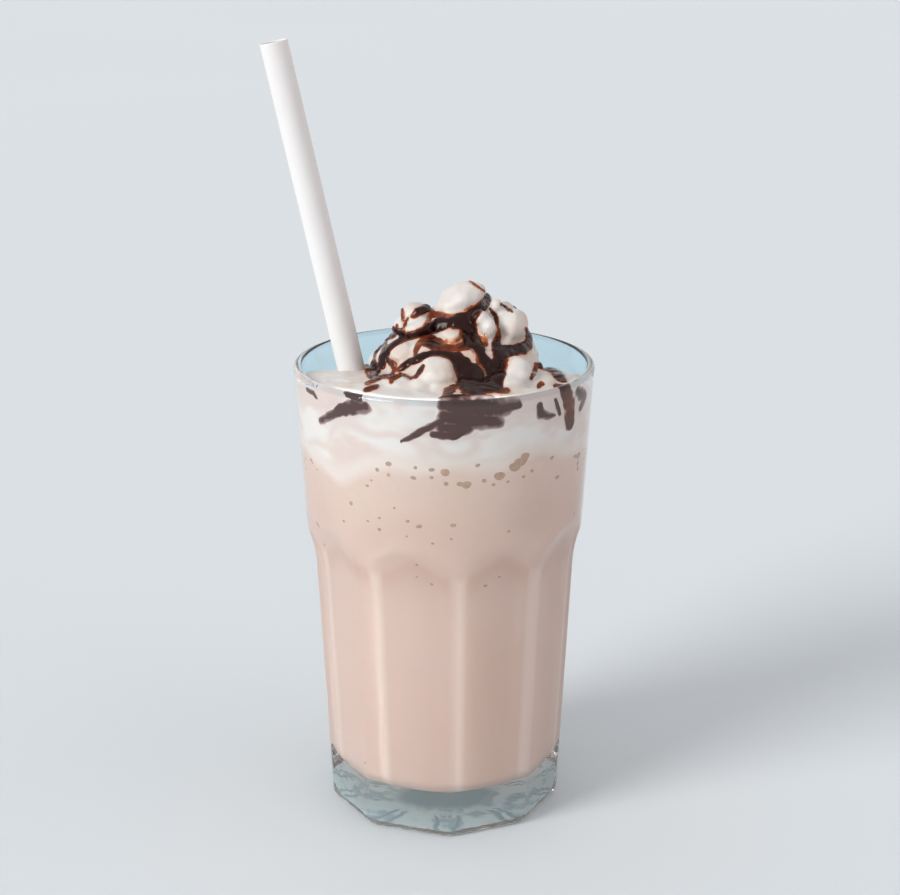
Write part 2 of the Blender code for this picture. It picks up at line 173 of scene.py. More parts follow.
FLOOR_TONE = colour(202, 208, 212)
FLOOR_RADIUS = 14
ROOM_LOW = colour(250, 252, 255)
ROOM_HIGH = colour(212, 214, 216)
ROOM_WARM = colour(226, 196, 186)
ROOM_BRIGHTNESS = 1.06

floor_mesh = bmesh.new()
bmesh.ops.create_circle(floor_mesh, cap_ends=True, segments=96, radius=FLOOR_RADIUS)
floor_data = bpy.data.meshes.new("floor")
floor_mesh.to_mesh(floor_data)
floor_mesh.free()
floor = bpy.data.objects.new("floor", floor_data)
bpy.context.scene.collection.objects.link(floor)
floor_finish = Finish("pale_floor", Roughness=0.7)
cloud = floor_finish.grain(0.5, detail=3.0)
floor_data.materials.append(floor_finish.feed(
    Base_Color=floor_finish.blend(cloud, FLOOR_TONE, tuple(0.96 * c for c in FLOOR_TONE))))


def soft_sun(name, turn, rise, spread, strength, tint):
    """An even, very soft light from one side: turn is counted from the front, towards +X."""
    lamp = bpy.data.lights.new(name, "SUN")
    lamp.angle = math.radians(spread)
    lamp.energy = strength
    lamp.color = tint
    stand = bpy.data.objects.new(name, lamp)
    towards = Vector((math.sin(math.radians(turn)), -math.cos(math.radians(turn)),
                      math.tan(math.radians(rise))))
    stand.rotation_euler = towards.to_track_quat("Z", "Y").to_euler()
    stand.location = towards
    bpy.context.scene.collection.objects.link(stand)


soft_sun("key", -56, 26, 28, 2.85, (1, 0.98, 0.955))
soft_sun("fill", 70, 30, 60, 0.5, (1, 0.88, 0.83))

world = bpy.data.worlds.new("studio")
world.use_nodes = True
bpy.context.scene.world = world
room = Recipe(world.node_tree)
towards = room.node("TexCoord", {}, {}, out="Generated")
rightward = room.axis(towards, "X").step(-0.1, 0.9)
low_tone = room.blend(rightward, ROOM_LOW, ROOM_WARM)
room_tone = room.blend(room.axis(towards, "Z").step(-0.1, 0.7), low_tone, ROOM_HIGH)
room.link(room_tone, room.tree.nodes["Background"], "Color")
room.tree.nodes["Background"].inputs["Strength"].default_value = ROOM_BRIGHTNESS


# The tumbler: pressed clear glass with a round band above nine flat panels, a rounded lip and a thick
# base. Its wall is smooth inside; the ridges between the panels are narrow rounded strips.
GLASS_HEIGHT = 139 * MM
RIM_RADIUS = 44.5 * MM
LIP_THICKNESS = 2.2 * MM
BAND_TAPER = 0.0587
PANELS = 9
PANEL_TURN = math.radians(2)
PITCH = 2 * math.pi / PANELS
RIDGE_FOOT_RADIUS = 35.4 * MM
PANEL_FOOT_APOTHEM = 33.6 * MM
PANEL_TAPER = 0.0465
PANEL_FLARE_START = 78 * MM
PANEL_FLARE = 13.3
RIDGE_SOFTNESS = 0.35 * MM
ARCH_SOFTNESS = 0.9 * MM
FOOT_ROUNDING = 2.2 * MM
FOOT_HOLLOW = 1.6 * MM
FLOOR_HEIGHT = 12.5 * MM
FLOOR_ROUNDING = 5 * MM
BORE_HEIGHTS = np.array([12.5, 50, 78, 100, 120, 139]) * MM
BORE_RADII = np.array([30.4, 32.6, 34.4, 38.1, 40.5, 42.3]) * MM
CLEAR = colour(253, 254, 253)
BLUISH = colour(208, 233, 241)
INNER_BLUE = colour(192, 237, 255)
GROUND_ROWS = 6
FOOT_PALE = colour(250, 255, 255)
FOOT_PAINTED_SHADE = colour(158, 184, 195)
LIP_PAINTED_SHADE = colour(206, 212, 215)

bore_slopes = np.diff(BORE_RADII) / np.diff(BORE_HEIGHTS)
bore_tangents = np.concatenate(
    [bore_slopes[:1], (bore_slopes[1:] + bore_slopes[:-1]) / 2, bore_slopes[-1:]])


def bore(z):
    """The radius of the inner wall at a height."""
    z = np.clip(z, BORE_HEIGHTS[0], BORE_HEIGHTS[-1])
    i = np.clip(np.searchsorted(BORE_HEIGHTS, z) - 1, 0, len(BORE_HEIGHTS) - 2)
    step = BORE_HEIGHTS[i + 1] - BORE_HEIGHTS[i]
    t = (z - BORE_HEIGHTS[i]) / step
    return (BORE_RADII[i] * (2 * t**3 - 3 * t**2 + 1) + BORE_RADII[i + 1] * (3 * t**2 - 2 * t**3)
            + step * (bore_tangents[i] * (t**3 - 2 * t**2 + t) + bore_tangents[i + 1] * (t**3 - t**2)))


def soft_min(first, second, softness):
    """The smaller of two, with the corner between them rounded."""
    share = np.clip(0.5 + 0.5 * (second - first) / softness, 0, 1)
    return first * share + second * (1 - share) - softness * share * (1 - share) / 2


def outside(angle, z):
    """The radius of the outer wall: the band, the panels cut into it, and their rounded ridges."""
    off_middle = (angle - PANEL_TURN) % PITCH - PITCH / 2
    apothem = (PANEL_FOOT_APOTHEM + PANEL_TAPER * z
               + PANEL_FLARE * np.maximum(0, z - PANEL_FLARE_START) ** 2)
    ridge = RIDGE_FOOT_RADIUS + (apothem - PANEL_FOOT_APOTHEM) * 1.06
    faceted = soft_min(apothem / np.cos(off_middle), ridge, RIDGE_SOFTNESS)
    band = RIM_RADIUS - (GLASS_HEIGHT - z) * BAND_TAPER
    rise = np.minimum(z, FOOT_ROUNDING)
    drawn_in = FOOT_ROUNDING - np.sqrt(FOOT_ROUNDING**2 - (FOOT_ROUNDING - rise) ** 2)
    return soft_min(faceted, band, ARCH_SOFTNESS) - drawn_in


def ring(angles, radius, z):
    z = np.broadcast_to(z, angles.shape)
    return np.stack([radius * np.sin(angles), -radius * np.cos(angles), z], axis=1)


def turned(name, rings):
    """A closed mesh over rings that hold as many points each, with both ends drawn to a point."""
    count = len(rings[0])
    points = np.concatenate([rings[0].mean(axis=0)[None], *rings, rings[-1].mean(axis=0)[None]])
    around = np.arange(count)
    nextdoor = (around + 1) % count
    faces = [(0, 1 + j, 1 + i) for i, j in zip(around, nextdoor)]
    for row in range(len(rings) - 1):
        low, high = 1 + row * count, 1 + (row + 1) * count
        faces += [(low + i, low + j, high + j, high + i) for i, j in zip(around, nextdoor)]
    last = len(points) - 1
    top = 1 + (len(rings) - 1) * count
    faces += [(top + i, top + j, last) for i, j in zip(around, nextdoor)]
    mesh = bpy.data.meshes.new(name)
    mesh.from_pydata(points.tolist(), [], faces)
    mesh.shade_smooth()
    return mesh


def piece(name, mesh, node):
    """Puts a mesh in the scene as the piece that stands for a node of the model."""
    made = bpy.data.objects.new(name, mesh)
    bpy.context.scene.collection.objects.link(made)
    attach(made, "root")
    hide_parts(node)
    return made


panel_steps = np.linspace(-1, 1, 45)[:-1]
panel_offsets = PITCH / 2 * (0.5 * panel_steps + 0.5 * np.sin(math.pi / 2 * panel_steps))
glass_angles = np.concatenate([PANEL_TURN + (k + 0.5) * PITCH + panel_offsets for k in range(PANELS)])

outer_heights = np.concatenate([
    FOOT_ROUNDING * (1 - np.cos(np.linspace(0, math.pi / 2, 9))),
    np.linspace(4, 78, 32) * MM,
    np.linspace(79, 101, 45) * MM,
    np.linspace(103, 137, 16) * MM,
])
foot_radius = outside(glass_angles, 0)
glass_rings = [ring(glass_angles, foot_radius * share, FOOT_HOLLOW * (1 - share**8))
               for share in (0.02, 0.3, 0.6, 0.75, 0.85, 0.92, 0.97)]
glass_rings += [ring(glass_angles, outside(glass_angles, z), z) for z in outer_heights]
for turn in np.linspace(0, math.pi, 15):
    radius = RIM_RADIUS - LIP_THICKNESS / 2 * (1 - math.cos(turn))
    height = GLASS_HEIGHT - LIP_THICKNESS / 2 * (1 - math.sin(turn))
    glass_rings.append(ring(glass_angles, radius, height))
outer_rows = len(glass_rings) - 7
for z in np.concatenate([np.linspace(136, 76, 41), np.linspace(72, 18, 16)]) * MM:
    glass_rings.append(ring(glass_angles, bore(z), z))
corner_radius = bore(FLOOR_HEIGHT + FLOOR_ROUNDING) - FLOOR_ROUNDING
for turn in np.linspace(0, math.pi / 2, 9):
    glass_rings.append(ring(glass_angles, corner_radius + FLOOR_ROUNDING * math.cos(turn),
                            FLOOR_HEIGHT + FLOOR_ROUNDING * (1 - math.sin(turn))))
for share in (0.75, 0.5, 0.25, 0.02):
    glass_rings.append(ring(glass_angles, corner_radius * share, FLOOR_HEIGHT))

glass_mesh = turned("tumbler", glass_rings)
tumbler = piece("tumbler", glass_mesh, "glass")
outer_glass = Finish("pressed_glass", Roughness=0.015, IOR=1.42, Transmission_Weight=1.0)
in_base = 1 - outer_glass.axis(outer_glass.place(), "Z").step(8 * MM, 17 * MM)
# The top of the lip is tinted grey: painted shade for the dark line that the rounded lip shows.
shaded_lip = outer_glass.axis(outer_glass.place(), "Z").step(136.8 * MM, 138.2 * MM)
waviness = outer_glass.grain(14 * MM, detail=1.0)
ripples = outer_glass.grain(4.5 * MM, detail=2.0) * in_base
body_glass = outer_glass.blend(in_base, CLEAR, BLUISH)
glass_mesh.materials.append(outer_glass.feed(
    Base_Color=outer_glass.blend(shaded_lip, body_glass, LIP_PAINTED_SHADE),
    Normal=outer_glass.relief(ripples, 0.6 * MM, over=outer_glass.relief(waviness, 0.25 * MM))))
inner_glass = Finish("inner_glass", Roughness=0.015, IOR=1.42, Transmission_Weight=1.0)
inner_wave = inner_glass.grain(20 * MM, detail=1.0)
inner_tone = inner_glass.blend(inner_wave, INNER_BLUE, tuple(0.97 * c for c in INNER_BLUE))
glass_mesh.materials.append(inner_glass.feed(
    Base_Color=inner_tone, Normal=inner_glass.relief(inner_wave, 0.15 * MM)))
# The underside of the foot is pale ground glass with painted shade: a grey disc in the middle, grey bands
# beside the outer ridges and grey blotches at random, for the dark that refraction shows through the base.
ground = Finish("ground_foot", Roughness=0.5)
from_axis = ground.node("VectorMath", {"operation": "LENGTH"}, {0: ground.node(
    "VectorMath", {"operation": "MULTIPLY"}, {0: ground.place(), 1: (1, 1, 0)})}, out="Value")
cloudy = ground.grain(5 * MM, detail=3.0)
across = from_axis + (cloudy - 0.5) * 7 * MM
shaded_disc = 0.75 * (1 - across.step(8 * MM, 15 * MM))
blotch = ground.grain(4 * MM, detail=2.0).step(0.5, 0.66) * 0.55
sideways = ground.axis(ground.place(), "X").maths("ARCTAN2", 0 - ground.axis(ground.place(), "Y"))
off_ridge = ((sideways + (cloudy - 0.5) * 0.25 - PANEL_TURN) / PITCH).maths("PINGPONG", 0.5)
outer_part = from_axis.step(15 * MM, 20 * MM)
ridge_side_shade = off_ridge.step(0.03, 0.08) * (1 - off_ridge.step(0.1, 0.2)) * outer_part
glass_mesh.materials.append(ground.feed(
    Base_Color=ground.blend(shaded_disc.most(blotch).most(ridge_side_shade * 0.8), FOOT_PALE, FOOT_PAINTED_SHADE)))
count = len(glass_angles)
face_number = np.arange(len(glass_mesh.polygons))
in_part = np.where(face_number >= count * outer_rows, 1, 0)
in_part = np.where(face_number < count * GROUND_ROWS, 2, in_part)
glass_mesh.polygons.foreach_set("material_index", in_part.astype(np.int32))


# The milkshake: a thick, pale pinkish-beige drink that fills the glass up to the cream. It reaches just
# into the wall of the glass, so that no air shows between them. Painted light makes its tone lighter behind
# the ridges of the glass, painted shade makes it darker under the arches, and it froths up into the cream.
INTO_WALL = 0.08 * MM
BEHIND_CREAM = 3 * MM
BORDER = [(-180, 119.5), (-150, 118), (-120, 120), (-90, 117.5), (-62, 115.5), (-50, 113.8), (-43, 113),
          (-36, 117.5), (-28, 120), (-12, 120.2), (4, 121), (14, 119.3), (20, 118), (27, 120.8),
          (36, 122.6), (46, 122), (60, 118.8), (85, 116), (115, 119.5), (150, 121), (180, 119.5)]
MILK = colour(234, 209, 198)
MILK_SHADE = colour(229, 201, 188)
MILK_FROTH = colour(246, 228, 217)
BORDER_TONE = colour(251, 241, 235)
MILK_LIT = colour(246, 228, 219)
MILK_ARCH_SHADE = colour(222, 184, 170)
LIT_TURN = math.radians(4.5)


def border(angle):
    """The height at the wall where the drink ends and the cream begins."""
    turns = np.radians([a for a, _ in BORDER])
    heights = np.array([h for _, h in BORDER]) * MM
    spread = np.radians(2.5)
    shifts = (-2, -1, 0, 1, 2)
    level = [np.interp((angle + s * spread + math.pi) % (2 * math.pi) - math.pi, turns, heights)
             for s in shifts]
    return np.mean(level, axis=0)


def points_of(mesh):
    points = np.zeros(len(mesh.vertices) * 3)
    mesh.vertices.foreach_get("co", points)
    return points.reshape(-1, 3)


def lumps_of(points, size, seed):
    """Smooth random values, about -1 to 1, in lumps of about that size."""
    shift = Vector((seed, 2.3 * seed, 5.1 * seed))
    return np.array([noise.noise(Vector(p) / size + shift) for p in points])


def above_border(points):
    """How high points lie over the border of drink and cream, which wanders a little."""
    level = border(np.arctan2(points[:, 0], -points[:, 1])) + 1.3 * MM * lumps_of(points, 6 * MM, 7)
    return points[:, 2] - level


drink_angles = np.linspace(0, 2 * math.pi, 240, endpoint=False)
drink_rings = []
for turn in np.linspace(math.pi / 2, 0, 8):
    drink_rings.append(ring(drink_angles, corner_radius + (FLOOR_ROUNDING + INTO_WALL) * math.cos(turn),
                            FLOOR_HEIGHT - INTO_WALL + FLOOR_ROUNDING * (1 - math.sin(turn))))
for z in np.linspace(20, 110, 46) * MM:
    drink_rings.append(ring(drink_angles, bore(z) + INTO_WALL, z))
milk_top = border(drink_angles) + BEHIND_CREAM
for share in np.linspace(0.08, 1, 12):
    z = 110 * MM + (milk_top - 110 * MM) * share
    drink_rings.append(ring(drink_angles, bore(z) + INTO_WALL, z))
for share in (0.95, 0.6, 0.02):
    drink_rings.append(ring(drink_angles, (bore(milk_top) - INTO_WALL) * share, milk_top))
milk_mesh = turned("milkshake", drink_rings)
milk_points = points_of(milk_mesh)
milkshake = piece("milkshake", milk_mesh, "drink")
milk = Finish("milkshake", Roughness=0.42, Subsurface_Weight=0.15, Subsurface_Scale=1.0,
              Subsurface_Radius=(1.2 * MM, 0.8 * MM, 0.6 * MM))
under = -above_border(milk_points)
depth_mark = milk_mesh.attributes.new("under_cream", "FLOAT", "POINT")
depth_mark.data.foreach_set("value", (under / MM).astype(np.float32))
swirl = milk.grain(30 * MM, detail=2.0, stretch=(1, 1, 0.5))
fine = milk.grain(1.6 * MM, detail=3.0)
place = milk.place()
high = milk.axis(place, "Z")
turn = milk.axis(place, "X").maths("ARCTAN2", 0 - milk.axis(place, "Y"))
# Painted light: a lighter band just past each ridge, where the ridge focuses light onto the drink.
from_ridge = ((turn - (PANEL_TURN + LIT_TURN)) / PITCH).maths("PINGPONG", 0.5)
arch = (high - (83 * MM + from_ridge * 14 * MM)) / MM
on_panels = 1 - arch.step(-1.5, 2)
lit = (1 - from_ridge.step(0.0, 0.12)) * on_panels
# Painted shade: a darker band under the arch at the top of each panel.
arch_shade = arch.step(-9, -2) * on_panels * from_ridge.step(0.04, 0.14)
near_cream = 1 - (milk.mark("under_cream") + 5 * (swirl - 0.5)).step(0, 4.5)
froth = 1 - (milk.mark("under_cream") + 20 * (swirl - 0.5)).step(0, 26)
body_tone = milk.blend(swirl.step(0.35, 0.7), MILK, MILK_SHADE)
body_tone = milk.blend(froth * (0.3 + 0.4 * fine), body_tone, MILK_FROTH)
body_tone = milk.blend(arch_shade * 0.4, body_tone, MILK_ARCH_SHADE)
body_tone = milk.blend(lit * 0.7, body_tone, MILK_LIT)
milk_mesh.materials.append(milk.feed(
    Base_Color=milk.blend(near_cream, body_tone, BORDER_TONE),
    Normal=milk.relief(fine, 0.05 * MM)))


# Bubbles that cling to the wall just under the cream: flat discs of trapped air, each a little darker
# than the drink round it. The large ones lie in a curve below the cream at the front.
BUBBLES = [
    (-41.4, 105, 0.75), (-46.8, 98.4, 0.55), (-33.3, 100.5, 0.45), (-27.5, 102.2, 0.5),
    (-27.9, 98.6, 0.65), (-15, 102.3, 0.6), (-10.2, 101, 0.85), (-15.8, 97.5, 0.45), (-20.5, 106, 0.45),
    (-32.2, 111.6, 0.6), (-22, 119.4, 0.95), (-27.1, 117.1, 0.7), (-22.3, 116, 0.65), (-4.7, 118.5, 0.8),
    (-4.8, 116.1, 0.6), (-12.1, 115.8, 0.8), (-11.1, 118.9, 0.6), (0.4, 118, 1.4), (0.8, 114.3, 0.75),
    (8.9, 114.1, 1.5), (6.4, 114.2, 1), (16, 114.7, 0.75), (20, 113.2, 0.6), (22.4, 116, 1.7),
    (29, 118.2, 1.9), (31.6, 119.4, 2.1), (33.4, 120.7, 1.5), (26.2, 113.5, 0.45), (33.3, 114.2, 0.6),
    (37.2, 115.5, 0.6), (47.7, 117.9, 0.8), (52.2, 111.2, 0.9), (28, 98, 0.55), (3.8, 101.5, 0.8),
    (3, 97.1, 0.4), (-4.8, 95.7, 0.5), (-11.9, 88.7, 0.4), (-12.2, 84.4, 0.35), (-5.2, 82.4, 0.5),
    (19.3, 80.9, 0.6), (26.2, 83.2, 0.4), (-44.8, 19.2, 0.5), (13.2, 119.5, 0.7), (-30, 113.5, 0.4),
]
BUBBLE_TONE = colour(176, 140, 118)
BUBBLE_RIM = colour(214, 186, 166)
HIDDEN_BUBBLES = 110

chance = np.random.default_rng(11)
bubble_list = list(BUBBLES)
for _ in range(HIDDEN_BUBBLES):
    angle = chance.uniform(62, 298)
    drop = chance.exponential(9)
    size = 0.35 + chance.exponential(0.28)
    bubble_list.append((angle, float(border(np.radians(angle))) / MM - 2 - drop, min(size, 1.8)))
bubble_shape = bmesh.new()
for angle, z, size in bubble_list:
    turn = math.radians(angle)
    radius = float(bore(z * MM))
    place = Matrix.Translation(Vector((radius * math.sin(turn), -radius * math.cos(turn), z * MM)))
    facing = Matrix.Rotation(turn, 4, "Z") @ Matrix.Rotation(math.pi / 2, 4, "X")
    wide = chance.uniform(0.9, 1.25)
    tilt = Matrix.Rotation(chance.uniform(-0.6, 0.6), 4, "Z")
    flat = Matrix.Diagonal((size * wide * MM, size / wide * MM, INTO_WALL * 2.2, 1))
    bmesh.ops.create_icosphere(bubble_shape, subdivisions=3, radius=1, matrix=place @ facing @ tilt @ flat)
bubble_mesh = bpy.data.meshes.new("wall_bubbles")
bubble_shape.to_mesh(bubble_mesh)
bubble_shape.free()
bubble_mesh.shade_smooth()
wall_bubbles = piece("wall_bubbles", bubble_mesh, "drink")
bubble = Finish("bubble_skin", Roughness=0.3)
mottle = bubble.grain(0.7 * MM, detail=2.0)
bubble_mesh.materials.append(bubble.feed(Base_Color=bubble.blend(mottle, BUBBLE_TONE, BUBBLE_RIM)))


# The whipped cream: soft spoonfuls heaped over a bed that fills the top of the glass. The lumps are run
# together into one skin, then drawn and dimpled as cream is by a spoon.
DOLLOPS = [
    ((4, -3, 138), (25, 26, 14), 0),
    ((5.5, -1, 149), (12.6, 13, 9), 0),
    ((4.6, -2, 157.7), (8.4, 7.5, 4.9), 27),
    ((7.2, -1, 159.8), (4.6, 4.5, 3), 27),
    ((6.2, -1, 161.3), (2.2, 2.6, 2), 10),
    ((5.9, 6, 155.4), (8, 8, 5), 0),
    ((15.1, -5, 156.7), (2.3, 3, 2.8), 0),
    ((19.3, -6, 150.6), (5.6, 7, 6.2), -38),
    ((16.6, 2, 149.6), (7.6, 8, 7), -38),
    ((10.6, -12, 154.8), (2.7, 3.2, 2.4), 10),
    ((12.7, -13, 152.1), (2.8, 3.6, 3.4), -10),
    ((2.3, -15, 150.2), (3.8, 4.5, 2.4), 0),
    ((-8.2, -3, 153.8), (4.8, 5.5, 4), 8),
    ((-7.3, -9, 151.4), (4.4, 4.5, 2.7), 20),
    ((-12.6, -4, 150.5), (2.6, 4, 3.2), 0),
    ((-11.6, -14, 144.6), (4.5, 5.2, 3.4), 22),
    ((-5.2, -17, 146.6), (4.2, 4, 3), 10),
    ((-1.7, -26, 141), (6.3, 7.5, 6.4), 0),
    ((-6.2, -28, 138.1), (6, 6.5, 4.6), 10),
    ((-13, -27, 137.8), (7, 7, 4.2), 6),
    ((20.7, -24, 141.1), (5, 6, 5.6), 0),
    ((18.1, -28, 138.6), (5.5, 6, 4.6), 0),
    ((26.9, -22, 137.3), (6, 7, 4), 0),
    ((21, -3, 142.4), (6.2, 9.5, 6), 0),
    ((-12.4, -8, 139.8), (5.6, 7.6, 5.6), 0),
    ((8, -31, 136.4), (15, 9, 4.6), 0),
    ((-9, -32, 136), (16, 8.4, 4), 0),
    ((-25, -22, 134.4), (9, 10, 4.4), 0),
    ((31, -8, 133.8), (7.6, 12, 4.4), 0),
    ((-5.5, 9, 146.4), (7.6, 9, 6.6), 0),
    ((7, 12, 148.2), (9.4, 9, 7), 0),
    ((17.6, 10, 142.2), (8.6, 8.4, 6.2), 0),
    ((-3, 20, 139.4), (10, 8.4, 6.4), 0),
    ((-10.6, 8, 135), (8, 9, 6), 0),
    ((2, 12, 138), (21, 19, 10), 0),
    ((11, 24, 133.6), (13, 11, 6), 0),
    ((-10, 25, 132.4), (14, 12, 5.6), 0),
    ((-25, 11, 130), (8, 11, 4.2), 0),
    ((-23.6, -7.5, 134.4), (5.4, 4.6, 3.4), 12),
    ((-28.5, -9, 133.6), (5, 4, 2.8), 0),
]
CREAM_SIDE_LEVEL = 134 * MM
CREAM_FRONT_RISE = 5 * MM
CREAM_BACK_FALL = 8 * MM
CREAM_GRAIN = 0.53 * MM
CREAM_SEED = 5
CREAM_DIP = 3 * MM
CREAM_PRESSED_PAINTED_LIGHT = colour(255, 252, 249)
CREAM_FOLD_SHADE = colour(244, 229, 224)
CREAM_TONE = colour(195, 191, 187)
CREAM_WARM = colour(190, 177, 168)
CREAM_STAIN = colour(184, 140, 112)


def normals_of(mesh):
    normals = np.zeros(len(mesh.vertices) * 3, np.float32)
    mesh.vertex_normals.foreach_get("vector", normals)
    return normals.reshape(-1, 3).astype(float)


def run_together(mesh, grain, rounds):
    """Melts overlapping closed lumps into one soft skin."""
    lumps = bpy.data.objects.new(mesh.name, mesh)
    bpy.context.scene.collection.objects.link(lumps)
    melt = lumps.modifiers.new("melt", "REMESH")
    melt.mode = "VOXEL"
    melt.voxel_size = grain
    soften = lumps.modifiers.new("soften", "SMOOTH")
    soften.iterations = rounds
    bpy.context.view_layer.update()
    melted = bpy.data.meshes.new_from_object(lumps.evaluated_get(bpy.context.evaluated_depsgraph_get()))
    bpy.data.objects.remove(lumps)
    return melted


def cream_level(angle):
    towards_front = np.cos(angle)
    slope = np.where(towards_front > 0, CREAM_FRONT_RISE, CREAM_BACK_FALL)
    bow = np.sign(towards_front) * np.sqrt(np.abs(towards_front))
    return CREAM_SIDE_LEVEL + slope * bow + 0.4 * MM * np.sin(7 * angle)


bed_rings = []
bed_foot = border(drink_angles) - CREAM_DIP
for share in (0.02, 0.6, 0.95):
    bed_rings.append(ring(drink_angles, bore(bed_foot) * share, bed_foot))
for share in (0, 0.5, 1):
    z = bed_foot + (cream_level(drink_angles) - bed_foot) * share
    bed_rings.append(ring(drink_angles, bore(z) + 3 * INTO_WALL, z))
for share, rise in ((0.93, 1.1), (0.8, 1.4), (0.5, 2), (0.02, 2)):
    z = cream_level(drink_angles) + rise * MM
    bed_rings.append(ring(drink_angles, bore(z) * share, z))
bed = turned("bed", bed_rings)

noise.seed_set(CREAM_SEED)
cream_shape = bmesh.new()
cream_shape.from_mesh(bed)
for index, (centre, sizes, tilt) in enumerate(DOLLOPS):
    lump = bmesh.new()
    place = (Matrix.Translation(Vector(centre) * MM) @ Matrix.Rotation(math.radians(-tilt), 4, "Y")
             @ Matrix.Diagonal((*[s * MM for s in sizes], 1)))
    bmesh.ops.create_icosphere(lump, subdivisions=4, radius=1, matrix=place)
    stir = 0.07 * min(sizes)
    for vertex in lump.verts:
        where = vertex.co / (7 * MM) + Vector((index * 3.7, 0, 0))
        vertex.co += noise.noise_vector(where) * stir * MM
    lump_mesh = bpy.data.meshes.new("lump")
    lump.to_mesh(lump_mesh)
    lump.free()
    cream_shape.from_mesh(lump_mesh)
cream_raw = bpy.data.meshes.new("whipped_cream")
cream_shape.to_mesh(cream_raw)
cream_shape.free()

cream_mesh = run_together(cream_raw, CREAM_GRAIN, 3)
skin = points_of(cream_mesh)
facing = normals_of(cream_mesh)
from_wall = bore(skin[:, 2]) - np.hypot(skin[:, 0], skin[:, 1])
above_bed = np.clip((skin[:, 2] - 130 * MM) / (6 * MM), 0, 1) * np.clip(from_wall / (3 * MM), 0, 1)
folds = 0.5 - np.abs(lumps_of(skin, 6.5 * MM, 1)) * 2.2
dimples = lumps_of(skin, 2.6 * MM, 2)
swell = 0.4 * np.clip(folds, -1, 1) + 0.2 * dimples - 0.4
skin += facing * (swell * above_bed * MM)[:, None]
reach = np.hypot(skin[:, 0], skin[:, 1])
over_border = above_border(skin)
wall = bore(skin[:, 2]) + INTO_WALL * (1 + np.clip(over_border / (3 * MM), -0.6, 1))
press = np.where(reach > wall, wall / reach, 1)
skin[:, :2] *= press[:, None]
cream_mesh.vertices.foreach_set("co", skin.ravel())
rise = cream_mesh.attributes.new("above_drink", "FLOAT", "POINT")
rise.data.foreach_set("value", (over_border / MM).astype(np.float32))
pressed = cream_mesh.attributes.new("at_glass", "FLOAT", "POINT")
gap = (bore(skin[:, 2]) - np.hypot(skin[:, 0], skin[:, 1])) / MM
pressed.data.foreach_set("value", np.clip(1 - gap / 1.5, 0, 1).astype(np.float32))
cream_mesh.shade_smooth()
whipped_cream = piece("whipped_cream", cream_mesh, "cream")
cream = Finish("whipped_cream", Roughness=0.5, Subsurface_Weight=0.35, Subsurface_Scale=1.0,
               Subsurface_Radius=(2.2 * MM, 1.8 * MM, 1.5 * MM))
above_drink = cream.mark("above_drink")
patches = cream.grain(9 * MM, detail=3.0)
foam = cream.grain(0.9 * MM, detail=3.0, roughness=0.6)
open_tone = cream.blend(patches.step(0.42, 0.66), CREAM_TONE, CREAM_WARM)
stain = (cream.mark("stained") + 0.9 * (patches - 0.5)).step(0.45, 1.1)
open_tone = cream.blend(stain * 0.5, open_tone, CREAM_STAIN)
# Painted shade on the pressed cream: soft warm patches, and darker lines where it folds.
fold_shade_patches = cream.grain(9 * MM, detail=3.0, stretch=(0.7, 0.7, 1.3))
crease_shade = 1 - (cream.grain(14 * MM, detail=1.0) * 2 - 1).maths("ABSOLUTE").step(0, 0.12)
pressed_light_and_shade = cream.blend(fold_shade_patches.step(0.46, 0.62).most(crease_shade * 0.8), CREAM_PRESSED_PAINTED_LIGHT, CREAM_FOLD_SHADE)
# Where the cream is pressed against the glass it is painted whiter than the open cream: painted light that
# makes up for the light it loses on its way through the glass.
top_tone = cream.blend(cream.mark("at_glass"), open_tone, pressed_light_and_shade)
clear_of_drink = (above_drink + 5 * patches - 2).step(0.2, 4.5)
cream_mesh.materials.append(cream.feed(
    Base_Color=cream.blend(clear_of_drink, BORDER_TONE, top_tone),
    Roughness=0.42 + 0.16 * foam,
    Normal=cream.relief(foam, 0.09 * MM, over=cream.relief(patches, 0.4 * MM))))


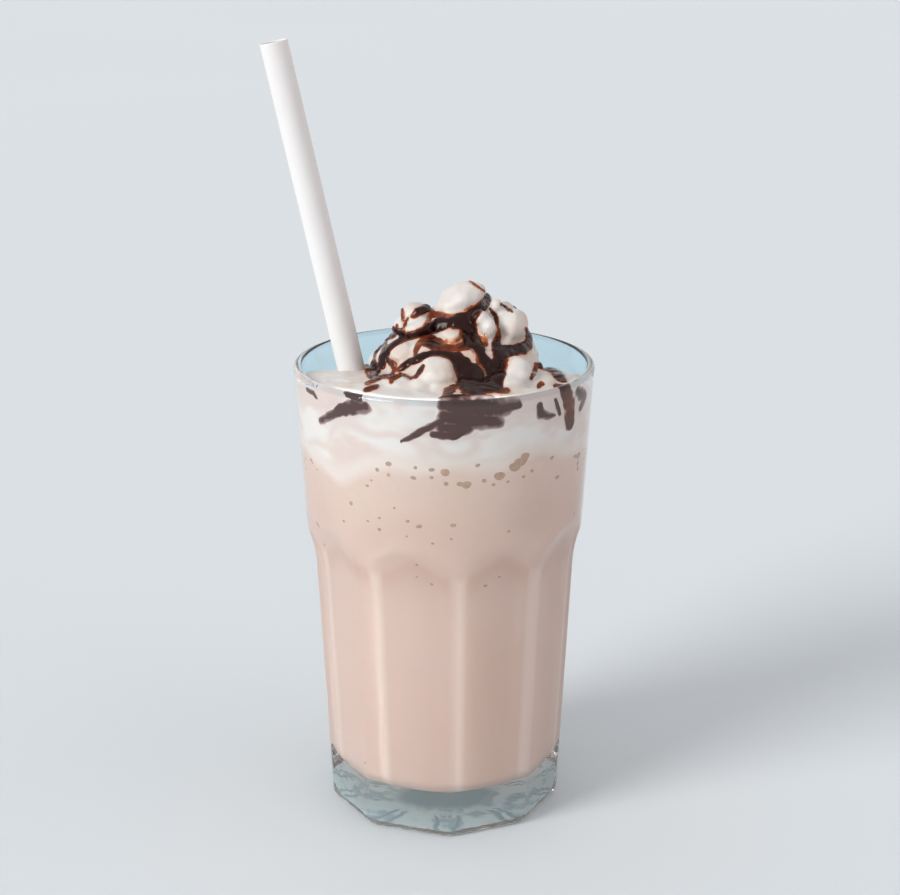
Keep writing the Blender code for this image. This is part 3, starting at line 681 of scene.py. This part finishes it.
# The chocolate sauce: strands trickled over the heap, pools where they meet, and smears that the cream
# has pressed against the glass. It stands up like a bead and thins to a brown film at its edges.
# Strands, seen from the front: across, height and half width, in millimetres.
DRIZZLE = [
    [(12.9, 158.2, 1.2), (12, 156.4, 1.5), (9.9, 154.3, 1.6), (7.6, 151.6, 1.9), (4.7, 150.7, 2.1),
     (1.7, 150.3, 1.6), (-1.2, 150, 1.9), (-4.2, 148.9, 1.5), (-7.1, 147.2, 1.2), (-10.1, 146.3, 1),
     (-12.8, 144.9, 0.9), (-15.1, 143.7, 0.9), (-16.9, 142.2, 1.2), (-17.8, 140.1, 1.4),
     (-18.5, 137.3, 1.2)],
    [(7.3, 163, 0.4), (8.4, 162.4, 0.6), (9.6, 161.5, 0.4), (10.8, 160.6, 0.3), (12.3, 159.7, 0.4)],
    [(13.5, 154.6, 0.5), (15, 152.8, 0.6), (15.6, 150.7, 0.6), (15.9, 148.3, 0.6), (15.9, 145.9, 0.8),
     (15.3, 144.3, 1.2), (15.9, 142.2, 1.5)],
    [(16.7, 156.1, 0.4), (17.6, 155.2, 0.7), (19.1, 154.3, 0.6), (20.2, 153.7, 0.3)],
    [(6.7, 149.5, 2.4), (7.6, 147.4, 2.4), (8.2, 144.9, 2.4), (9.7, 142.8, 1.6), (10.9, 140.7, 1.5),
     (12.1, 138.5, 1.4), (13.3, 136.4, 1.5), (14.2, 134.2, 2.1), (14.2, 131.5, 2.4)],
    [(-14, 135.8, 0.7), (-12.2, 137, 0.9), (-10.1, 138.5, 1.1), (-7.2, 139.8, 1.1), (-4.2, 140.7, 1.1),
     (-1.3, 140.8, 1.1), (1.7, 140.1, 1.3), (4.4, 138.8, 1.9), (6.2, 136.7, 2.7), (7.7, 133.9, 3.4),
     (8.6, 131.2, 3.5)],
    [(24.1, 148.6, 0.5), (25, 147.1, 0.9), (25, 145.3, 1.1), (24.5, 143.4, 1.4), (22.1, 142.2, 1.6),
     (19.5, 141.9, 1.8), (17.4, 141, 2.2), (16.8, 138.5, 2.1), (16.3, 136.1, 1.8), (15.7, 133.6, 1.9),
     (14.8, 131.2, 2.4)],
    [(8, 130.2, 1.8), (10.9, 130.5, 2.4), (14.2, 130.5, 2.1), (16.9, 129.9, 1.2)],
    [(-9.2, 152.5, 0.7), (-7.7, 153.7, 1.2), (-5.9, 154.6, 1.3), (-4.2, 155.5, 1.1), (-3.3, 156.1, 0.6)],
    [(-12.4, 154.9, 0.4), (-12.1, 153.1, 0.6), (-12.1, 151.3, 0.6)],
    [(-10.7, 151.9, 0.4), (-11.5, 150.1, 0.6), (-11.9, 148.6, 0.4)],
    [(-13.9, 149.8, 0.4), (-13.9, 148, 0.6), (-14.2, 146.8, 0.4)],
    [(-17.5, 144, 0.8), (-17.8, 141.6, 1), (-18.7, 138.5, 0.8), (-19.4, 136.1, 0.9), (-21.2, 133.9, 1)],
    [(-16.4, 138.8, 0.8), (-14.9, 137.6, 0.9), (-14.6, 135.8, 0.7), (-16.1, 134.2, 0.8)],
    [(-22.7, 131.8, 1), (-20, 133.3, 1), (-17.6, 133.9, 1), (-15.2, 133.6, 0.9), (-13.1, 134.5, 0.8),
     (-11.7, 134.2, 0.7), (-9.9, 133.6, 0.7), (-8.4, 134.2, 0.7), (-7.2, 135.8, 0.7), (-6.3, 137.3, 0.5)],
    [(-15.8, 133.6, 0.7), (-15.8, 132.4, 0.6)],
    [(-23.3, 129.9, 0.7), (-21.5, 130.5, 0.9), (-20, 131.2, 0.7)],
    [(26.9, 137.9, 0.5), (28.7, 137.2, 0.9), (31.1, 136.1, 1.3), (33.5, 134.9, 1.5), (35, 133, 1.2)],
    [(27.2, 137, 0.6), (26.7, 135.5, 0.7), (25.8, 133.6, 0.5)],
    [(-24.4, 139.8, 0.7), (-23.2, 138.2, 0.8), (-22.6, 136.7, 0.5)],
]
# Thin glaze beside the strands: how full it is, then the same as above.
GLAZE = [
    (0.13, [(-3.9, 154, 0.8), (-3, 152.8, 0.9), (-0.9, 153, 0.8), (1.7, 152.5, 0.6), (4.7, 153, 0.6),
            (7, 154, 0.8), (8.8, 155.5, 0.6)]),
    (0.13, [(-4.2, 152.8, 0.7), (-4.8, 150.7, 0.9), (-6, 148.9, 0.7), (-8.3, 147.7, 0.6),
            (-10.7, 146.8, 0.7), (-12.5, 145.9, 0.5)]),
    (0.13, [(-6, 145.9, 0.8), (-7.5, 144.3, 1), (-8.3, 142.2, 0.8), (-8.7, 140.7, 0.5)]),
    (0.16, [(-4.5, 145.9, 1.1), (-2.1, 144.9, 1.2), (-0.1, 144.3, 0.9)]),
    (0.26, [(-6, 144.3, 0.9), (-3.3, 143.7, 1.5), (-1, 143.1, 1.4), (1.7, 142.8, 1.2), (4.4, 143, 1.2),
            (6.7, 143.7, 1.5)]),
    (0.15, [(0.8, 144.9, 0.7), (2.9, 144.6, 0.8), (4.7, 145.9, 0.6), (5.1, 148, 0.5)]),
    (0.15, [(9.4, 153.4, 0.5), (8.8, 151.6, 0.5), (9.4, 149.8, 0.5)]),
    (0.26, [(10.6, 145.9, 0.7), (12, 145.7, 0.9), (12.1, 144, 0.8)]),
    (0.18, [(9.1, 141.6, 0.6), (10, 139.8, 0.8), (10.6, 137.6, 0.8), (11.2, 135.8, 0.6)]),
    (0.32, [(0.5, 128.4, 1), (1.4, 129.6, 1.4), (2.9, 130.5, 1.1)]),
    (0.3, [(16.6, 129.3, 0.9), (18.4, 129.8, 1)]),
    (0.15, [(28.8, 131.8, 0.8), (27.9, 130.8, 0.5)]),
    (0.2, [(17.4, 135.5, 0.7), (16.6, 133.6, 0.7), (16.6, 131.5, 0.6)]),
    (0.18, [(-22.9, 138.5, 0.6), (-23.2, 136.4, 0.8), (-21.8, 134.2, 0.9)]),
]
# Smears on the wall: angle in degrees, height and half width.
WALL_SMEARS = [
    [(0.1, 137.5, 1.7), (4.2, 137.2, 2.5), (9.9, 136.4, 3), (16.5, 136.2, 3), (23, 136, 2.4),
     (28.5, 136.3, 1.4)],
    [(0.5, 134.3, 2.4), (5.4, 133.4, 2.8), (10.8, 133, 2.8), (16.3, 132.4, 2.5), (20.4, 131.8, 1.9)],
    [(-0.7, 131.2, 1.8), (4.3, 130.8, 2.3), (8.9, 130.6, 1.9)],
    [(-4.2, 129.1, 1), (0.1, 128.8, 1.4), (4.3, 128.8, 1.2), (7.8, 129.6, 0.8)],
    [(-16.5, 126.5, 0.5), (-13.2, 127.6, 0.9), (-9.2, 129.6, 1), (-4.5, 131.5, 1.1), (-0.7, 133, 1.4)],
    [(-55.8, 127.8, 1.1), (-49.6, 130.1, 1.4), (-41.9, 133.1, 1.7), (-35.5, 134.8, 2.1),
     (-30.3, 135.4, 1.8)],
    [(-44.9, 138.3, 0.3), (-38.6, 138, 0.6), (-32.8, 137.2, 0.8)],
    [(-65.1, 135.5, 0.8), (-59.3, 135.3, 0.9), (-57.2, 134.2, 0.6)],
    [(38.6, 134.7, 1.1), (39.5, 132.2, 1.5), (44, 131, 1.2), (47, 130.8, 0.7)],
    [(46.7, 135.6, 0.6), (48.4, 133, 1), (50.2, 130.6, 0.7)],
    [(61.9, 135.5, 1.4), (68.7, 132.4, 2.4), (66, 130.1, 1.6)],
]
DRIP = [(51.6, 138.4, 1.7), (53.7, 136, 2.1), (56.1, 132.3, 2.4), (57.1, 128.8, 2.4), (57.8, 126.4, 2.1)]
# Strands round the back: from one angle to another, from one height to another, and half width.
BACK_STRANDS = [
    (80, 178, 149, 137, 1.6),
    (112, 205, 155, 145, 1.3),
    (138, 250, 139, 152, 1.5),
    (172, 292, 148, 137, 1.7),
    (205, 300, 147, 151, 1.2),
]
SAUCE_HIGH = 0.5
DRIP_HIGH = 0.12
SPREAD = 1.2
SIGHT = np.array((0, math.cos(LOOKING_DOWN), -math.sin(LOOKING_DOWN)))
SIGHT_SHARE = 0.35
SAUCE_DARK = colour(34, 13, 9)
SAUCE_BROWN = colour(98, 43, 24)
SAUCE_THIN = colour(168, 100, 64)
SAUCE_FILM = colour(214, 172, 140)
SMEAR_DARK = colour(88, 63, 60)
SMEAR_GREY = colour(150, 126, 122)
SMEAR_THIN = colour(212, 190, 183)

cream_tree = BVHTree.FromObject(whipped_cream, bpy.context.evaluated_depsgraph_get())


def dropped(x, z):
    """The point of the cream behind x, z of the plane y = 0, seen from the front."""
    aim = Vector((x * MM, 0, z * MM))
    return cream_tree.ray_cast(VIEWPOINT, (aim - VIEWPOINT).normalized())[0]


def finer(route, parts=4):
    """More points along a route, on straight lines between its own."""
    knots = np.arange(len(route))
    fine = np.linspace(0, len(route) - 1, (len(route) - 1) * parts + 1)
    return np.stack([np.interp(fine, knots, column) for column in np.array(route).T], axis=1)


def flattened(points):
    """Points with their depth along the line of sight shortened, so that a strand keeps its drawn width."""
    away = points - np.array(VIEWPOINT)
    depth = away @ SIGHT
    return away - np.outer(depth, SIGHT) * (1 - SIGHT_SHARE)


strands = []
for fullness, route in [(SAUCE_HIGH, line) for line in DRIZZLE] + GLAZE:
    found = [(dropped(x, z), width * MM) for x, z, width in finer(route)]
    line = [(flattened(np.array(p)[None])[0], width) for p, width in found if p]
    strands.append((line, "seen", fullness))
for fullness, route in [(SAUCE_HIGH, line) for line in WALL_SMEARS] + [(DRIP_HIGH, DRIP)]:
    strand = []
    for angle, z, width in finer(route):
        turn = math.radians(angle)
        radius = float(bore(z * MM))
        strand.append((np.array((radius * math.sin(turn), -radius * math.cos(turn), z * MM)), width * MM))
    strands.append((strand, "touched", fullness))
drip_line = strands[-1:]
for start, end, low, high, width in BACK_STRANDS:
    strand = []
    for share in np.linspace(0, 1, 25):
        turn = np.radians([start + (end - start) * share])
        z = (low + (high - low) * share + 1.6 * math.sin(9 * share)) * MM
        outer_point = Vector(ring(turn, 1.6 * RIM_RADIUS, z + 20 * MM)[0])
        axis_point = Vector((4 * MM, 0, z - 10 * MM))
        hit = cream_tree.ray_cast(outer_point, (axis_point - outer_point).normalized())[0]
        if hit:
            strand.append((np.array(hit), width * MM * (1 + 0.3 * math.sin(20 * share))))
    strands.append((strand, "touched", SAUCE_HIGH))


def sauce_height(points, lines):
    """How thick the sauce of some strands lies over each point, and how far inside a strand that is."""
    seen = flattened(points)
    waver = 1 + 0.26 * lumps_of(points, 4 * MM, 3) + 0.18 * lumps_of(points, 1.7 * MM, 4)
    most = np.full(len(points), -1.0)
    heap = np.zeros(len(points))
    for strand, places, fullness in lines:
        cloud = seen if places == "seen" else points
        for (start, first), (end, second) in zip(strand, strand[1:]):
            along = end - start
            length = max(float(along @ along), 1e-12)
            share = np.clip((cloud - start) @ along / length, 0, 1)
            away = np.linalg.norm(cloud - start - share[:, None] * along, axis=1)
            width = (first + (second - first) * share) * waver * SPREAD
            inside = 1 - away / width
            most = np.maximum(most, inside)
            bead = np.sqrt(np.clip(1 - (1 - np.clip(inside, 0, 1)) ** 2, 0, 1)) * np.minimum(width, 2.2 * MM)
            heap = np.maximum(heap, bead * fullness)
    return np.where(most > 0, heap, 2.2 * MM * np.maximum(most, -0.5)), most


_, inside = sauce_height(skin, strands)
stained = cream_mesh.attributes.new("stained", "FLOAT", "POINT")
stained.data.foreach_set("value", np.clip(1 + inside, 0, 1).astype(np.float32))
sauce_shape = bmesh.new()
sauce_shape.from_mesh(cream_mesh)
bare = [v for v, share in zip(sauce_shape.verts, inside) if share < -0.3]
bmesh.ops.delete(sauce_shape, geom=bare, context="VERTS")
bmesh.ops.subdivide_edges(sauce_shape, edges=sauce_shape.edges, cuts=1, use_grid_fill=True)
sauce_mesh = bpy.data.meshes.new("chocolate_sauce")
sauce_shape.to_mesh(sauce_mesh)
sauce_shape.free()
sauce_mesh.materials.clear()
film = points_of(sauce_mesh)
height, inside = sauce_height(film, strands)
film_facing = normals_of(sauce_mesh)
at_wall = np.clip(1 + (np.hypot(film[:, 0], film[:, 1]) - bore(film[:, 2])) / (0.3 * MM), 0, 1)
lift = np.where(height > 0, height * (1 - 0.75 * at_wall) + 0.02 * MM, height)
film += film_facing * lift[:, None]
sauce_mesh.vertices.foreach_set("co", film.ravel())
depth = sauce_mesh.attributes.new("sauce_depth", "FLOAT", "POINT")
depth.data.foreach_set("value", np.clip(height / MM, 0, 2).astype(np.float32))
share_mark = sauce_mesh.attributes.new("share", "FLOAT", "POINT")
share_mark.data.foreach_set("value", np.clip(inside, 0, 1).astype(np.float32))
in_drip = np.clip(3 * sauce_height(film, drip_line)[1] + 0.3, 0, 1)
touching = sauce_mesh.attributes.new("against_glass", "FLOAT", "POINT")
touching.data.foreach_set("value", (at_wall * (1 - in_drip)).astype(np.float32))
sauce_mesh.shade_smooth()
chocolate = piece("chocolate_sauce", sauce_mesh, "cream")
underside = chocolate.modifiers.new("underside", "SOLIDIFY")
underside.thickness = 0.4 * MM
underside.offset = -1
sauce = Finish("chocolate_sauce", Roughness=0.22, Specular_IOR_Level=0.18)
streak = sauce.grain(3 * MM, detail=2.0)
broad = sauce.grain(5 * MM, detail=2.0)
speck = sauce.grain(1.2 * MM, detail=3.0)
uneven = 0.9 * (broad - 0.5) + 0.5 * (speck - 0.5)
rich = sauce.mark("sauce_depth") + uneven
open_tone = sauce.blend(rich.step(-0.1, 0.1), SAUCE_FILM, SAUCE_THIN)
open_tone = sauce.blend(rich.step(0.0, 0.22), open_tone, SAUCE_BROWN)
open_tone = sauce.blend(rich.step(0.22, 0.62), open_tone, SAUCE_DARK)
share = sauce.mark("share")
smear_tone = sauce.blend((share + 0.3 * uneven).step(0.0, 0.16), CREAM_PRESSED_PAINTED_LIGHT, SMEAR_THIN)
smear_tone = sauce.blend((share + 0.6 * uneven).step(0.1, 0.3), smear_tone, SMEAR_GREY)
smear_tone = sauce.blend((share + 1.6 * uneven).step(0.2, 0.55), smear_tone, SMEAR_DARK)
sauce_mesh.materials.append(sauce.feed(
    Base_Color=sauce.blend(sauce.mark("against_glass"), open_tone, smear_tone),
    Normal=sauce.relief(streak, 0.12 * MM)))


# The straw: a plain white paper tube with slight dents. It leans on the wall and the cream, and its
# foot stands near the floor of the glass.
STRAW_RADIUS = 4 * MM
STRAW_WALL = 0.5 * MM
STRAW_TOP = Vector((-47.8, -3.0, 232.2)) * MM
STRAW_AT_CREAM = Vector((-26.8, -3.0, 134.4)) * MM
STRAW_FOOT_HEIGHT = FLOOR_HEIGHT + 1.5 * MM
PAPER = colour(214, 213, 213)
PAPER_SHADE = colour(206, 204, 203)

direction = (STRAW_TOP - STRAW_AT_CREAM).normalized()
straw_foot = STRAW_TOP - direction * ((STRAW_TOP.z - STRAW_FOOT_HEIGHT) / direction.z)
straw_length = (STRAW_TOP - straw_foot).length
straw_angles = np.linspace(0, 2 * math.pi, 96, endpoint=False)
EDGE = 0.12 * MM
stations = np.concatenate([np.linspace(0, straw_length - 1 * MM, 90),
                           straw_length - np.array([0.6, 0.3]) * MM])
walls = [(STRAW_RADIUS, along) for along in stations]
walls += [(STRAW_RADIUS, straw_length - EDGE), (STRAW_RADIUS - EDGE, straw_length),
          (STRAW_RADIUS - STRAW_WALL + EDGE, straw_length),
          (STRAW_RADIUS - STRAW_WALL, straw_length - EDGE)]
walls += [(STRAW_RADIUS - STRAW_WALL, along) for along in stations[::-1]]
straw_points, straw_faces = [], []
for radius, along in walls:
    wobble = 1 + 0.004 * np.sin(2 * straw_angles + along / (40 * MM))
    straw_points.append(np.stack([radius * wobble * np.cos(straw_angles),
                                  radius * wobble * np.sin(straw_angles),
                                  np.full(len(straw_angles), along)], axis=1))
count = len(straw_angles)
for row in range(len(walls)):
    low, high = row * count, (row + 1) % len(walls) * count
    straw_faces += [(low + i, low + (i + 1) % count, high + (i + 1) % count, high + i)
                    for i in range(count)]
straw_mesh = bpy.data.meshes.new("paper_straw")
straw_mesh.from_pydata(np.concatenate(straw_points).tolist(), [], straw_faces)
straw_mesh.shade_smooth()
straw_mesh.transform(Matrix.Translation(straw_foot) @ direction.to_track_quat("Z", "Y").to_matrix().to_4x4())
paper_straw = piece("paper_straw", straw_mesh, "straw")
paper = Finish("straw_paper", Roughness=0.55, Subsurface_Weight=0.15, Subsurface_Scale=1.0,
               Subsurface_Radius=(1 * MM, 0.9 * MM, 0.8 * MM))
fibre = paper.grain(0.5 * MM, detail=4.0, roughness=0.65)
blotch = paper.grain(12 * MM)
dents = paper.grain(6 * MM, detail=1.0, stretch=(1, 1, 0.35))
straw_mesh.materials.append(paper.feed(
    Base_Color=paper.blend(blotch * 0.6 + fibre * 0.25, PAPER, PAPER_SHADE),
    Normal=paper.relief(fibre, 0.04 * MM, over=paper.relief(dents, 0.5 * MM))))
